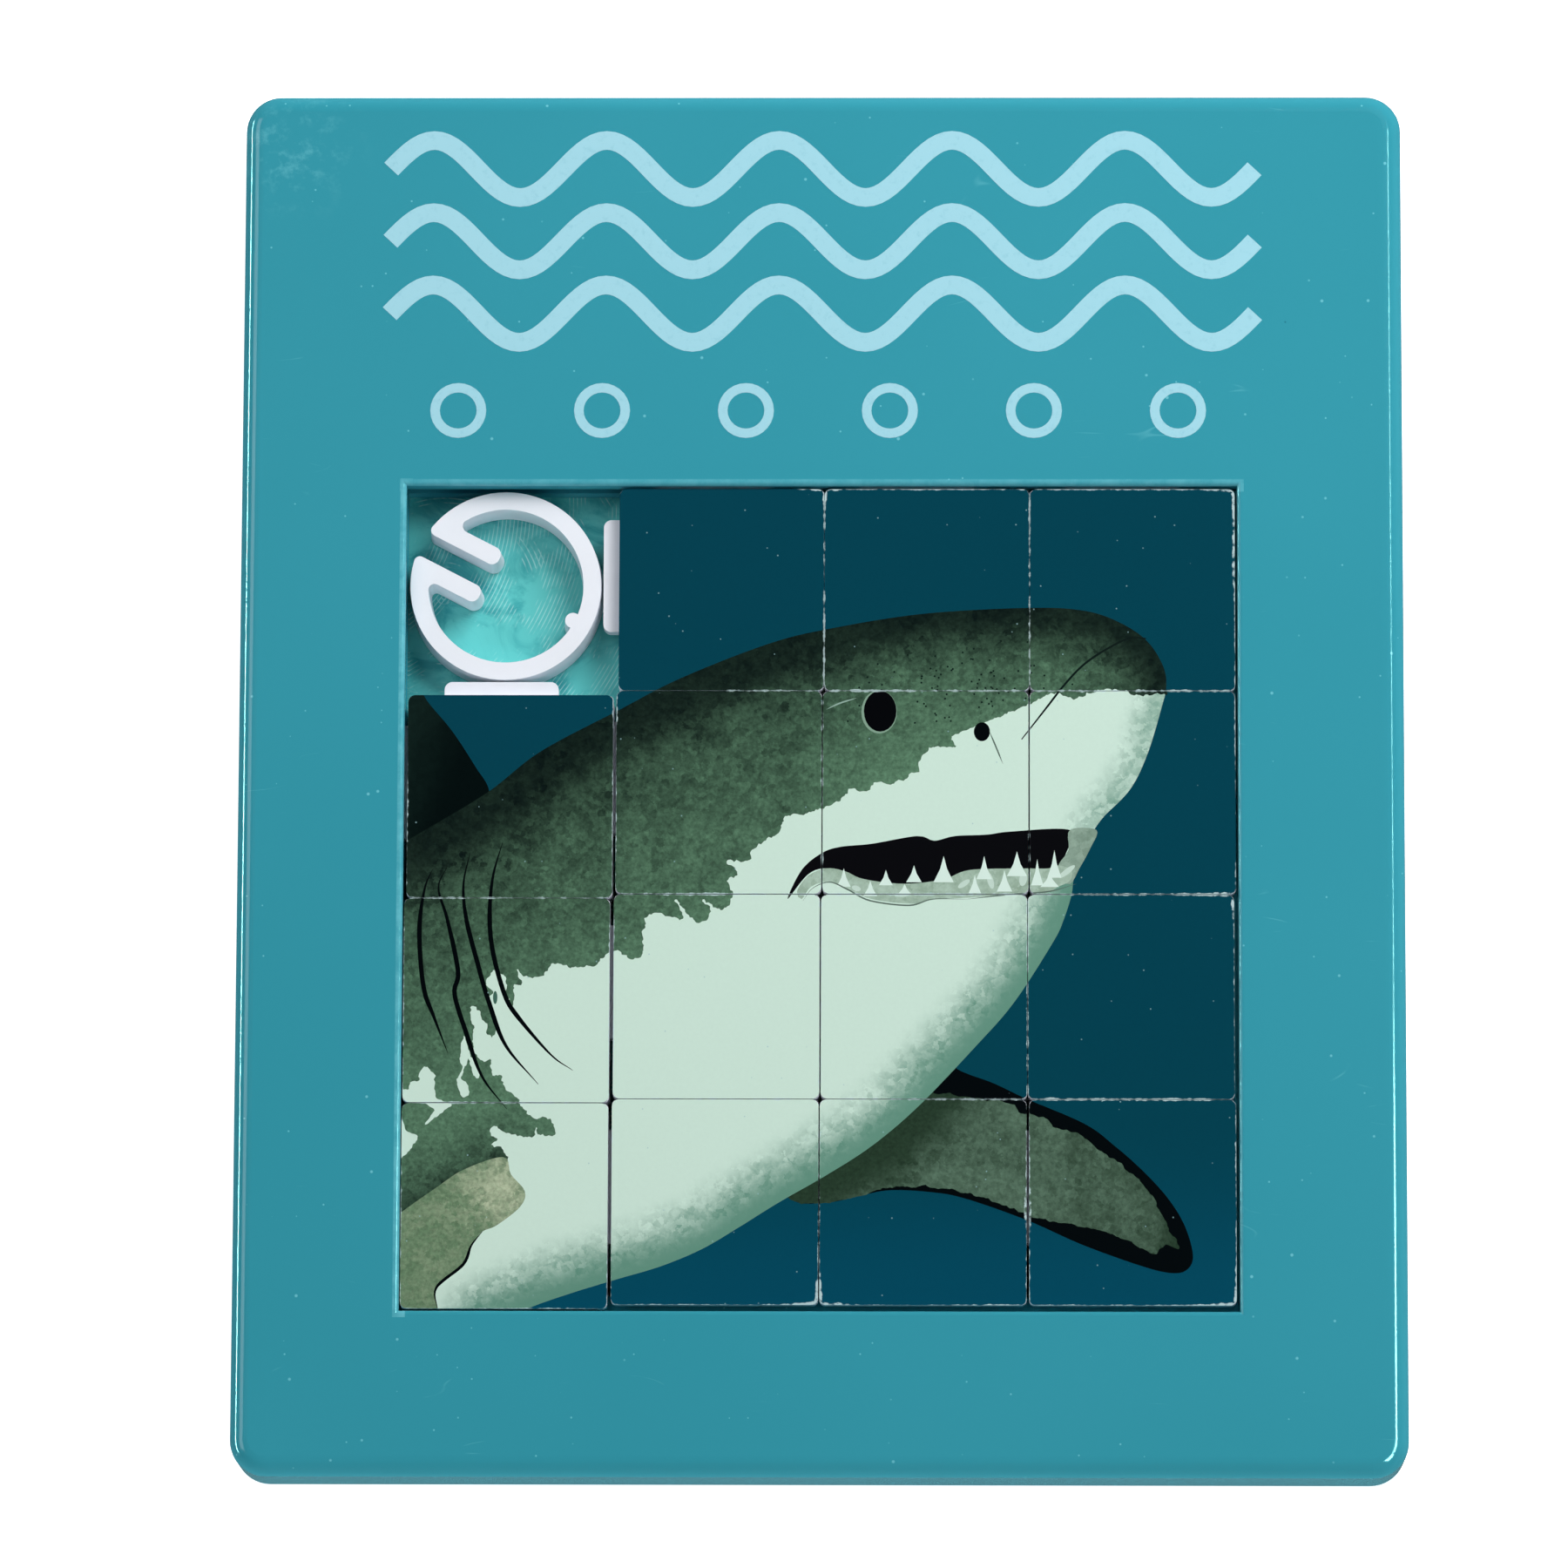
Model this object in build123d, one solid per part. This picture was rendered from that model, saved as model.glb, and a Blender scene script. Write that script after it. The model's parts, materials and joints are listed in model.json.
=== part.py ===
from build123d import *

import os
from math import radians, tan

# Pocket sliding tile puzzle: a moulded case with a square window, fifteen interlocking tiles
# in a four by four grid, a picture film on each tile, and a split spring ring in the empty cell.
# Millimetres. The origin is the centre of the back face. +X is right, +Y runs up the long side
# towards the printed band, and +Z points out through the picture.

# ---- driving dimensions ----
CASE_WIDTH = 75.0
CASE_HEIGHT = 90.0
CASE_DEPTH = 6.4
CASE_CORNER = 2.3            # radius of the case's upright corners
FRONT_ROUNDING = 1.2         # rounding of the front outer edge
BACK_ROUNDING = 0.4
WALL = 1.5                   # outer wall and front plate of the moulding
SIDE_MARGIN = 10.8           # front face left and right of the grid
BOTTOM_MARGIN = 10.6         # front face below the grid

GRID = 4                     # rows and columns
PITCH = 13.35                # from one tile to the next
GAP = 0.15                   # running gap between tiles, and between tiles and the window's walls
FLOOR_TOP = 2.3              # floor that the tiles slide on
TILE_LIFT = 0.05             # running gap under the tiles and the ring
TILE_TOP = 5.9               # top of the plastic tile
FILM = 0.15                  # thickness of the picture film
FILM_INSET = 0.06            # white rim left between the film and the tile's edge
FILM_CORNER = 0.5
TILE_CORNER = 0.35
TILE_EDGE = 0.06             # tiny chamfer around the tile's top

TONGUE_BOTTOM = 3.85         # tongues, grooves and ridges are half way up the tile
TONGUE_TOP = 4.95
TONGUE_REACH = 1.05
TONGUE_LENGTH = 7.35
TONGUE_CORNER = 0.5
LEFT_TONGUE_SHIFT = 1.1      # the tongues sit towards the tile's top left corner
TOP_TONGUE_SHIFT = -0.65
GROOVE_CLEARANCE = 0.15      # above and below a tongue
GROOVE_DEPTH = 1.4
RIDGE_CLEARANCE = 0.2        # above and below a wall ridge
RIDGE_REACH = 1.05

POCKET_WALL = 1.1            # wall left around the hollow underside of a tile
POCKET_TOP = 4.9
POCKET_RIB = 0.9

SKIRT = 2.8                  # thickness of the window's walls
RIM_ROUNDING = 0.3
PLATE = 1.5                  # thickness of the back plate
PLATE_FIT = 0.1              # gap around the back plate
PLATE_CORNER = 0.8
PLATFORM_FIT = 0.2
GATE_RADIUS = 0.9            # moulding gate mark on the back plate
GATE_DEPTH = 0.25
PEG_RADIUS = 1.25
PEG_HEIGHT = 2.2
PEG_FIT = 0.05
PEG_CHAMFER = 0.3
SOCKET_SPARE = 0.3           # how much deeper the sockets are than the pegs are long
BOSS_RADIUS = 2.3
PEG_X = 32.8
PEG_ROWS = (40.3, 13.0, -13.0, -40.3)
RIB = 1.0
RIB_DEPTH = 1.8
RIB_COLUMNS = (-20.0, 0.0, 20.0)

RING_OUTER = 6.28            # radii at the ring's foot; the draft makes its front face smaller
RING_INNER = 4.91
RING_HEIGHT = 2.7
RING_DRAFT = 2.5             # degrees
RING_SLOT = 152.5            # degrees from +X to the slot
FINGER_WIDTH = 1.4
FINGER_OFFSET = 1.38         # from the slot's centre line to each finger's
FINGER_TIP = 1.08            # how far short of the ring's centre the fingers end
TIP_ROUNDING = 0.62
NUB_RADIUS = 0.62
RING_CORNER = 0.5            # where the band turns into a finger
RING_ROOT = 0.3              # fillet inside that turn
NEAR = 0.01                  # how exactly a corner is matched when it is picked by its place

# ---- worked out from the driving dimensions ----
TILE = PITCH - GAP
TILE_BOTTOM = FLOOR_TOP + TILE_LIFT
WINDOW = GRID * PITCH + GAP
GRID_LEFT = SIDE_MARGIN - CASE_WIDTH / 2
GRID_TOP = BOTTOM_MARGIN - CASE_HEIGHT / 2 + GRID * PITCH
WINDOW_X = GRID_LEFT + GRID * PITCH / 2
WINDOW_Y = GRID_TOP - GRID * PITCH / 2
WINDOW_LEFT = WINDOW_X - WINDOW / 2
WINDOW_RIGHT = WINDOW_X + WINDOW / 2
WINDOW_BOTTOM = WINDOW_Y - WINDOW / 2
WINDOW_TOP = WINDOW_Y + WINDOW / 2
SKIRT_SIZE = WINDOW + 2 * SKIRT
FRONT_PLATE_BACK = CASE_DEPTH - WALL
GROOVE_BOTTOM = TONGUE_BOTTOM - GROOVE_CLEARANCE
GROOVE_TOP = TONGUE_TOP + GROOVE_CLEARANCE
EMPTY_CELL = (1, 1)
CELLS = [(row, column) for row in range(1, GRID + 1) for column in range(1, GRID + 1)]
TILES = [cell for cell in CELLS if cell != EMPTY_CELL]

# Where the tiles were last pushed to within their running play, measured from their cells' centres.
# Up is the same along a row, except in the first column, which has the empty cell above it.
PUSHED_RIGHT = {
    1: (0.0, 0.25, 0.13, 0.01),
    2: (0.07, 0.13, 0.06, 0.0),
    3: (-0.06, 0.04, -0.02, -0.12),
    4: (-0.09, 0.0, -0.07, -0.05),
}
PUSHED_UP = {1: -0.035, 2: 0.075, 3: 0.165, 4: 0.265}
FIRST_COLUMN_UP = {2: -0.2, 3: -0.09, 4: 0.0}


def span(low, high):
    """Box from the corner low to the corner high."""
    size = [b - a for a, b in zip(low, high)]
    middle = [(a + b) / 2 for a, b in zip(low, high)]
    return Pos(*middle) * Box(*size)


def cell_centre(row, column):
    x = GRID_LEFT + PITCH * (column - 0.5)
    y = GRID_TOP - PITCH * (row - 0.5)
    return x, y


def seat(row, column):
    """Centre of a tile where it lies at rest."""
    x, y = cell_centre(row, column)
    up = FIRST_COLUMN_UP[row] if column == 1 else PUSHED_UP[row]
    return x + PUSHED_RIGHT[row][column - 1], y + up


def rounded_slab(width, height, corner, bottom, top):
    return Pos(0, 0, bottom) * extrude(RectangleRounded(width, height, corner), amount=top - bottom)


# ---- case ----
def outer_shell():
    """Front plate and outer walls, open at the back."""
    block = rounded_slab(CASE_WIDTH, CASE_HEIGHT, CASE_CORNER, 0, CASE_DEPTH)
    block = fillet(block.faces().sort_by(Axis.Z)[-1].edges(), FRONT_ROUNDING)
    block = fillet(block.faces().sort_by(Axis.Z)[0].edges(), BACK_ROUNDING)
    cavity = rounded_slab(
        CASE_WIDTH - 2 * WALL, CASE_HEIGHT - 2 * WALL, PLATE_CORNER, 0, FRONT_PLATE_BACK
    )
    return block - cavity


def window_walls():
    height = FRONT_PLATE_BACK - FLOOR_TOP
    middle = (FRONT_PLATE_BACK + FLOOR_TOP) / 2
    return Pos(WINDOW_X, WINDOW_Y, middle) * Box(SKIRT_SIZE, SKIRT_SIZE, height)


def window_opening():
    return span(
        (WINDOW_LEFT, WINDOW_BOTTOM, -1),
        (WINDOW_RIGHT, WINDOW_TOP, CASE_DEPTH + 1),
    )


def wall_grooves():
    """Grooves in the left and top walls, which take the tiles' tongues."""
    behind_left = WINDOW_LEFT - GROOVE_DEPTH
    behind_top = WINDOW_TOP + GROOVE_DEPTH
    left = span(
        (behind_left, WINDOW_BOTTOM, GROOVE_BOTTOM), (WINDOW_LEFT, WINDOW_TOP, GROOVE_TOP)
    )
    top = span(
        (behind_left, WINDOW_TOP, GROOVE_BOTTOM), (WINDOW_RIGHT, behind_top, GROOVE_TOP)
    )
    return left + top


def wall_ridges():
    """Ridges on the right and bottom walls, which hold the tiles by their grooves."""
    root = SKIRT / 2
    low = GROOVE_BOTTOM + RIDGE_CLEARANCE
    high = GROOVE_TOP - RIDGE_CLEARANCE
    right = span(
        (WINDOW_RIGHT - RIDGE_REACH, WINDOW_BOTTOM, low), (WINDOW_RIGHT + root, WINDOW_TOP, high)
    )
    bottom = span(
        (WINDOW_LEFT, WINDOW_BOTTOM - root, low), (WINDOW_RIGHT, WINDOW_BOTTOM + RIDGE_REACH, high)
    )
    return right + bottom


def peg_places():
    places = [(side * PEG_X, y) for side in (-1, 1) for y in PEG_ROWS]
    places.append((0, PEG_ROWS[0]))
    places.append((0, PEG_ROWS[-1]))
    return places


def upright(radius, height):
    return Cylinder(radius, height, align=(Align.CENTER, Align.CENTER, Align.MIN))


def band_ribs():
    """Stiffening ribs behind the wide printed band."""
    top = CASE_HEIGHT / 2 - WALL
    bottom = WINDOW_Y + SKIRT_SIZE / 2
    return [
        span(
            (x - RIB / 2, bottom, FRONT_PLATE_BACK - RIB_DEPTH),
            (x + RIB / 2, top, FRONT_PLATE_BACK),
        )
        for x in RIB_COLUMNS
    ]


def front_frame():
    solid = outer_shell() + window_walls()
    for rib in band_ribs():
        solid += rib
    solid -= window_opening()
    rim = solid.faces().sort_by(Axis.Z)[-1].inner_wires()[0].edges()
    solid = fillet(rim, RIM_ROUNDING)
    solid -= wall_grooves()
    solid += wall_ridges()
    boss = upright(BOSS_RADIUS, FRONT_PLATE_BACK - PLATE)
    socket = upright(PEG_RADIUS + PEG_FIT, PEG_HEIGHT + SOCKET_SPARE)
    for x, y in peg_places():
        solid += Pos(x, y, PLATE) * boss
        solid -= Pos(x, y, PLATE) * socket
    return solid


def back_plate():
    """Cover let into the back of the case, with the floor of the window and the locating pegs."""
    width = CASE_WIDTH - 2 * (WALL + PLATE_FIT)
    height = CASE_HEIGHT - 2 * (WALL + PLATE_FIT)
    solid = rounded_slab(width, height, PLATE_CORNER, 0, PLATE)
    platform = SKIRT_SIZE - 2 * PLATFORM_FIT
    floor = rounded_slab(platform, platform, PLATE_CORNER, PLATE, FLOOR_TOP)
    solid += Pos(WINDOW_X, WINDOW_Y, 0) * floor
    peg = upright(PEG_RADIUS, PEG_HEIGHT)
    peg = chamfer(peg.edges().sort_by(Axis.Z)[-1], PEG_CHAMFER)
    for x, y in peg_places():
        solid += Pos(x, y, PLATE) * peg
    return solid - upright(GATE_RADIUS, GATE_DEPTH)


# ---- tiles ----
def tongue():
    """A tongue lying along X, rooted in the tile's wall and reaching out of it along +Y."""
    root = POCKET_WALL
    depth = TONGUE_REACH + root
    blank = Pos(0, depth / 2 - root, TONGUE_BOTTOM) * extrude(
        Rectangle(TONGUE_LENGTH, depth), amount=TONGUE_TOP - TONGUE_BOTTOM
    )
    ends = blank.edges().filter_by(Axis.Z).sort_by(Axis.Y)[-2:]
    return fillet(ends, TONGUE_CORNER)


def tile_grooves():
    """Grooves along the whole right and bottom sides."""
    half = TILE / 2
    inner = half - GROOVE_DEPTH
    right = span((inner, -half, GROOVE_BOTTOM), (half, half, GROOVE_TOP))
    bottom = span((-half, -half, GROOVE_BOTTOM), (half, -inner, GROOVE_TOP))
    return right + bottom


def tile_pockets():
    """Hollow underside, divided by a cross of ribs. It is symmetric about the falling diagonal,
    because the grooves take room on the right and at the bottom."""
    half = TILE / 2
    low = -half + POCKET_WALL
    high = half - GROOVE_DEPTH - POCKET_WALL
    middle = (low + high) / 2
    rib = POCKET_RIB / 2
    sides = ((low, middle - rib), (middle + rib, high))
    pockets = []
    for left, right in sides:
        for near, far in sides:
            pockets.append(span((left, -far, TILE_BOTTOM), (right, -near, POCKET_TOP)))
    return pockets


def tile_blank():
    half = TILE / 2
    solid = rounded_slab(TILE, TILE, TILE_CORNER, TILE_BOTTOM, TILE_TOP)
    solid = chamfer(solid.faces().sort_by(Axis.Z)[-1].edges(), TILE_EDGE)
    solid -= tile_grooves()
    for pocket in tile_pockets():
        solid -= pocket
    solid += Pos(TOP_TONGUE_SHIFT, half, 0) * tongue()
    solid += Pos(-half, LEFT_TONGUE_SHIFT, 0) * Rot(0, 0, 90) * tongue()
    return solid


def picture_blank():
    side = TILE - 2 * FILM_INSET
    return rounded_slab(side, side, FILM_CORNER, TILE_TOP, TILE_TOP + FILM)


# ---- spring ring ----
def ring_outline():
    """The ring's foot, with its slot on -X, two fingers running inwards and a nub on +X."""
    disc = Circle(RING_OUTER)
    band = disc - Circle(RING_INNER)
    slot = 2 * FINGER_OFFSET - FINGER_WIDTH
    band -= Pos(-RING_OUTER, 0) * Rectangle(2 * RING_OUTER, slot)
    length = RING_OUTER - FINGER_TIP
    for side in (-1, 1):
        finger = Pos(-FINGER_TIP - length / 2, side * FINGER_OFFSET) * Rectangle(length, FINGER_WIDTH)
        band += finger & disc
    band += Pos(RING_INNER, 0) * Circle(NUB_RADIUS) & disc
    return band.faces()[0]


def rounded_ring_outline():
    outline = ring_outline()
    tips = [v for v in outline.vertices() if abs(v.X + FINGER_TIP) < NEAR]
    outline = fillet(tips, TIP_ROUNDING)
    ends = outline.vertices().sort_by(Axis.X)[:2]
    outline = fillet(ends, RING_CORNER)
    far_side = FINGER_OFFSET + FINGER_WIDTH / 2
    beside_fingers = [v for v in outline.vertices() if abs(abs(v.Y) - far_side) < NEAR]
    roots = [v for v in beside_fingers if v.X < -RING_INNER / 2]
    return fillet(roots, RING_ROOT)


def ring_place():
    """Centre of the ring, midway between the window's walls and the two tongues it meets."""
    at_tongue = RING_OUTER - (TONGUE_BOTTOM - TILE_BOTTOM) * tan(radians(RING_DRAFT))
    right_tile_x, _ = seat(1, 2)
    _, lower_tile_y = seat(2, 1)
    right_tongue = right_tile_x - TILE / 2 - TONGUE_REACH
    lower_tongue = lower_tile_y + TILE / 2 + TONGUE_REACH
    x = (WINDOW_LEFT + RING_OUTER + right_tongue - at_tongue) / 2
    y = (WINDOW_TOP - RING_OUTER + lower_tongue + at_tongue) / 2
    return x, y


def spring_ring():
    """Split ring, moulded with draft, that fills the empty cell until it is lifted out."""
    downwards = extrude(rounded_ring_outline(), amount=-RING_HEIGHT, taper=RING_DRAFT)
    ring = mirror(downwards, about=Plane.XY)
    x, y = ring_place()
    return Pos(x, y, TILE_BOTTOM) * Rot(0, 0, RING_SLOT - 180) * ring


def write(solid, node):
    export_step(solid, os.path.join("parts", node + ".step"))


def main():
    os.makedirs("parts", exist_ok=True)
    write(front_frame(), "front_frame")
    write(back_plate(), "back_plate")
    write(spring_ring(), "spring_ring")
    blank = tile_blank()
    film = picture_blank()
    for row, column in TILES:
        place = Pos(*seat(row, column))
        write(place * blank, f"tile_r{row}c{column}")
        write(place * film, f"picture_r{row}c{column}")


main()
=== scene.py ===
import json
import math

import bpy
import numpy as np
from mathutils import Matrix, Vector, noise
from mathutils.geometry import delaunay_2d_cdt


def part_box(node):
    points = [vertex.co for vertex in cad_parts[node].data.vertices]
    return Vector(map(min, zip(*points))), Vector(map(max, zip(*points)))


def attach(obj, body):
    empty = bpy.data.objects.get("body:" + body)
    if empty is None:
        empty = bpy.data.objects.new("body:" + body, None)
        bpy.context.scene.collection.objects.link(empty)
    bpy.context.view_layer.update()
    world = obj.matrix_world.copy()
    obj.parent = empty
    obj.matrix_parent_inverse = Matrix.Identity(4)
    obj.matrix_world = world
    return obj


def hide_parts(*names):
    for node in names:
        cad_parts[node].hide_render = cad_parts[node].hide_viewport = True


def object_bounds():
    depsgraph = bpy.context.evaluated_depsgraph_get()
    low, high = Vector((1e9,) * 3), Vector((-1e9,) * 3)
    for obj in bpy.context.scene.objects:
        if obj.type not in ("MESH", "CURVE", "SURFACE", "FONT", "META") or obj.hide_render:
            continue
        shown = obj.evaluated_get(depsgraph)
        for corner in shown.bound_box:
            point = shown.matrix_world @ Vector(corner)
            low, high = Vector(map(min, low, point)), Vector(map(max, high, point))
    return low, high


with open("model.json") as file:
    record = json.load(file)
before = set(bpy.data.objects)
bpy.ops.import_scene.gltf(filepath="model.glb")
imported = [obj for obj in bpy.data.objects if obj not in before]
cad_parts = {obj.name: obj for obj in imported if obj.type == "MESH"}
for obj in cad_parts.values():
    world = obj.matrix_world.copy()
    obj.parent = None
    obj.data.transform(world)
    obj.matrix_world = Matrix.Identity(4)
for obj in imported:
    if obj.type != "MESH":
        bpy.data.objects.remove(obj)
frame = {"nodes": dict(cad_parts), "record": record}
cad_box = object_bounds()

# Looks of the pocket sliding puzzle. Outlines are in millimetres in the part's own frame, +X to the
# right of the picture and +Y up it; meshes are made in metres. Colours are display colours, 0 to 255.
MM = 0.001
nodes = frame["nodes"]
CASE_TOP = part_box("front_frame")[1].z / MM

# ---- camera, lights and floor ----
FLOOR_TOP = 2.3
WINDOW_CENTRE = (0.0, -7.7)
WINDOW_HALF = 26.775
LENS = 231.5
SENSOR = 36.0
CAMERA_PLACE = (9.03, -109.58, 644.31)
CAMERA_TURN = (9.704, 1.022, 0.212)        # tilt towards +Y, then yaw and roll, in degrees
FLOOR_SIZE = 4000.0
CYAN = (0.42, 1.0, 0.97)                    # light off the window that the edges reflect


def add_camera():
    data = bpy.data.cameras.new("camera")
    data.lens = LENS
    data.sensor_width = SENSOR
    data.clip_start = 0.05
    data.clip_end = 20.0
    camera = bpy.data.objects.new("camera", data)
    camera.location = Vector(CAMERA_PLACE) * MM
    camera.rotation_mode = "ZXY"
    camera.rotation_euler = [math.radians(angle) for angle in CAMERA_TURN]
    bpy.context.scene.collection.objects.link(camera)
    bpy.context.scene.camera = camera


def add_softbox(name, place, size, radiance, tint=(1, 1, 1), mirrored=True):
    """A rectangular light that faces the origin. It is either mirrored in glossy faces or lights the rest."""
    data = bpy.data.lights.new(name, "AREA")
    data.shape = "RECTANGLE"
    data.size = size[0] * MM
    data.size_y = size[1] * MM
    data.energy = radiance * math.pi * data.size * data.size_y * 4
    data.color = tint
    light = bpy.data.objects.new(name, data)
    light.location = Vector(place) * MM
    light.rotation_mode = "QUATERNION"
    light.rotation_quaternion = light.location.to_track_quat("Z", "Y")
    light.visible_glossy = mirrored
    light.visible_diffuse = not mirrored
    bpy.context.scene.collection.objects.link(light)


def add_lights():
    add_softbox("key", (190, 250, 320), (280, 280), 2.0, mirrored=False)
    add_softbox("fill", (-240, 140, 480), (300, 300), 0.65, mirrored=False)
    add_softbox("front", (140, -420, 400), (420, 200), 0.5, mirrored=False)
    add_softbox("low_front", (0, -500, 60), (600, 90), 1.1, mirrored=False)
    add_softbox("left_strip", (-400, 30, 40), (420, 14), 30.0, CYAN)
    add_softbox("left_glow", (-330, 60, 300), (420, 160), 0.55)
    add_softbox("right_strip", (300, 60, 340), (260, 10), 15.0, CYAN)
    add_softbox("right_window", (290, -45, 350), (180, 80), 7.5, CYAN)
    add_softbox("corner_window", (250, -205, 350), (120, 120), 9.0, CYAN)


def add_world():
    """Surroundings that are dark overhead, and pale low down, where the sides reflect them."""
    world = bpy.data.worlds.new("studio")
    world.use_nodes = True
    tree = world.node_tree
    place = tree.nodes.new("ShaderNodeTexCoord")
    split = tree.nodes.new("ShaderNodeSeparateXYZ")
    fade = tree.nodes.new("ShaderNodeMapRange")
    tree.links.new(place.outputs["Generated"], split.inputs["Vector"])
    tree.links.new(split.outputs["Z"], fade.inputs["Value"])
    fade.inputs["From Min"].default_value = 0.1
    fade.inputs["From Max"].default_value = 0.6
    fade.inputs["To Min"].default_value = 0.3
    fade.inputs["To Max"].default_value = 0.0
    tree.nodes["Background"].inputs["Color"].default_value = (0.35, 0.6, 0.65, 1.0)
    tree.links.new(fade.outputs["Result"], tree.nodes["Background"].inputs["Strength"])
    bpy.context.scene.world = world


# ---- finishes ----
def linear(red, green, blue):
    """Linear colour of a display colour."""
    shares = [value / 255 for value in (red, green, blue)]
    return [s / 12.92 if s <= 0.04045 else ((s + 0.055) / 1.055) ** 2.4 for s in shares] + [1.0]


class Finish:
    """A Principled material with short calls for the nodes that it needs. Sizes are in millimetres."""

    def __init__(self, name, roughness, specular=0.5):
        self.material = bpy.data.materials.new(name)
        self.material.use_nodes = True
        self.tree = self.material.node_tree
        self.shader = self.tree.nodes["Principled BSDF"]
        self.shader.inputs["Roughness"].default_value = roughness
        self.shader.inputs["Specular IOR Level"].default_value = specular
        self.place = self.tree.nodes.new("ShaderNodeTexCoord").outputs["Object"]

    def put(self, value, socket):
        if isinstance(value, bpy.types.NodeSocket):
            self.tree.links.new(value, socket)
        else:
            socket.default_value = value

    def make(self, kind, result, inputs, **settings):
        node = self.tree.nodes.new("ShaderNode" + kind)
        for name, value in settings.items():
            setattr(node, name, value)
        for name, value in inputs.items():
            self.put(value, node.inputs[name])
        return node.outputs[result]

    def calc(self, operation, first, second=0.0):
        return self.make("Math", 0, {0: first, 1: second}, operation=operation)

    def fade(self, value, low, high, start=0.0, end=1.0):
        """Smooth step from start, at low and below, to end, at high and above."""
        inputs = {"Value": value, "From Min": low, "From Max": high, "To Min": start, "To Max": end}
        return self.make("MapRange", "Result", inputs, interpolation_type="SMOOTHSTEP")

    def level(self, value, low, high):
        """Straight ramp from 0, at low and below, to 1, at high and above."""
        return self.make("MapRange", "Result", {"Value": value, "From Min": low, "From Max": high})

    def blend(self, first, second, share):
        return self.make("Mix", 2, {6: first, 7: second, 0: share}, data_type="RGBA")

    def moved(self, shift=(0, 0, 0), turn=0.0, stretch=(1, 1, 1)):
        """The object's coordinates, turned about Z and stretched."""
        inputs = {
            "Vector": self.place,
            "Location": [v * MM for v in shift],
            "Rotation": (0, 0, math.radians(turn)),
            "Scale": stretch,
        }
        return self.make("Mapping", 0, inputs)

    def noise(self, size, detail=2.0, roughness=0.5, bend=0.0, place=None):
        inputs = {
            "Vector": place or self.place,
            "Scale": 1 / (size * MM),
            "Detail": detail,
            "Roughness": roughness,
            "Distortion": bend,
        }
        return self.make("TexNoise", 0, inputs)

    def specks(self, spacing, size, share, seed=0.0):
        """Mask of round specks up to size across, in a share of the cells of a loose grid."""
        cells = {"Vector": self.moved((seed, seed, seed)), "Scale": 1 / (spacing * MM)}
        voronoi = self.tree.nodes.new("ShaderNodeTexVoronoi")
        for name, value in cells.items():
            self.put(value, voronoi.inputs[name])
        edge = size / 2 / spacing
        near = self.fade(voronoi.outputs["Distance"], edge * 0.5, edge, 1.0, 0.0)
        picked = self.calc("LESS_THAN", voronoi.outputs["Color"], share)
        return self.calc("MULTIPLY", near, picked)

    def dabs(self, size):
        """Random greys in small patches with frayed borders, as of a stiff brush."""
        fray = self.make("TexNoise", "Color", {"Vector": self.place, "Scale": 2.5 / (size * MM)})
        shift = self.make("VectorMath", 0, {0: fray, 1: (0.8 * size * MM,) * 3}, operation="MULTIPLY")
        place = self.make("VectorMath", 0, {0: self.place, 1: shift}, operation="ADD")
        cells = self.make("TexVoronoi", "Color", {"Vector": place, "Scale": 1 / (size * MM)})
        return self.make("SeparateColor", 0, {0: cells})

    def scratches(self, turn, seed, reach=6.0, thin=0.012, share=0.7):
        """Mask of fine, nearly straight scratches in one direction."""
        along = self.moved((seed, seed, seed), turn, (0.2, 1.0, 1.0))
        lines = self.noise(1.6, 0.0, 0.5, 0.0, along)
        off = self.calc("ABSOLUTE", self.calc("SUBTRACT", lines, 0.5))
        line = self.fade(off, 0.0, thin, 1.0, 0.0)
        patch = self.noise(reach, 3.0, 0.6, 0.0, self.moved((seed, 0, seed)))
        return self.calc("MULTIPLY", line, self.fade(patch, share - 0.04, share + 0.04))

    def arcs(self, centre, spacing, seed, patch, share):
        """Mask of fine arcs about a centre, a spacing apart, in loose patches."""
        shift = (-centre[0], -centre[1], 0)
        waves = {
            "Vector": self.moved(shift),
            "Scale": 0.31 / (spacing * MM),
            "Distortion": 0.8,
            "Detail": 2.0,
            "Detail Scale": 0.05,
        }
        lines = self.make("TexWave", "Fac", waves, wave_type="RINGS", rings_direction="Z")
        where = self.noise(patch, 3.0, 0.6, 0.0, self.moved((seed, seed, 0)))
        line = self.fade(lines, 0.75, 0.97)
        return self.calc("MULTIPLY", line, self.fade(where, share, share + 0.12))

    def near(self, centre, reach):
        """Mask that is 1 at a point of the front face and fades to 0 at reach from it."""
        shift = self.moved((-centre[0], -centre[1], -CASE_TOP))
        away = self.make("VectorMath", "Value", {0: shift}, operation="LENGTH")
        return self.fade(away, 0.0, reach * MM, 1.0, 0.0)

    def rim(self, centre, half, width):
        """Mask of a band along the left and the top edge of a square opening in the front face, where a highlight is
        painted on the rim.
        """
        place = self.moved((-centre[0], -centre[1], -CASE_TOP))
        split = self.tree.nodes.new("ShaderNodeSeparateXYZ")
        self.tree.links.new(place, split.inputs[0])
        across, along, height = split.outputs
        bands = []
        for near, far, side in ((across, along, -1), (along, across, 1)):
            away = self.calc("ABSOLUTE", self.calc("SUBTRACT", near, side * half * MM))
            band = self.fade(away, 0.8 * width * MM, width * MM, 1.0, 0.0)
            inside = self.calc("LESS_THAN", self.calc("ABSOLUTE", far), (half + width) * MM)
            bands.append(self.calc("MULTIPLY", band, inside))
        edge = self.calc("MAXIMUM", bands[0], self.calc("MULTIPLY", bands[1], 0.7))
        return self.calc("MULTIPLY", edge, self.fade(height, -0.3 * MM, -0.15 * MM))

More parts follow.
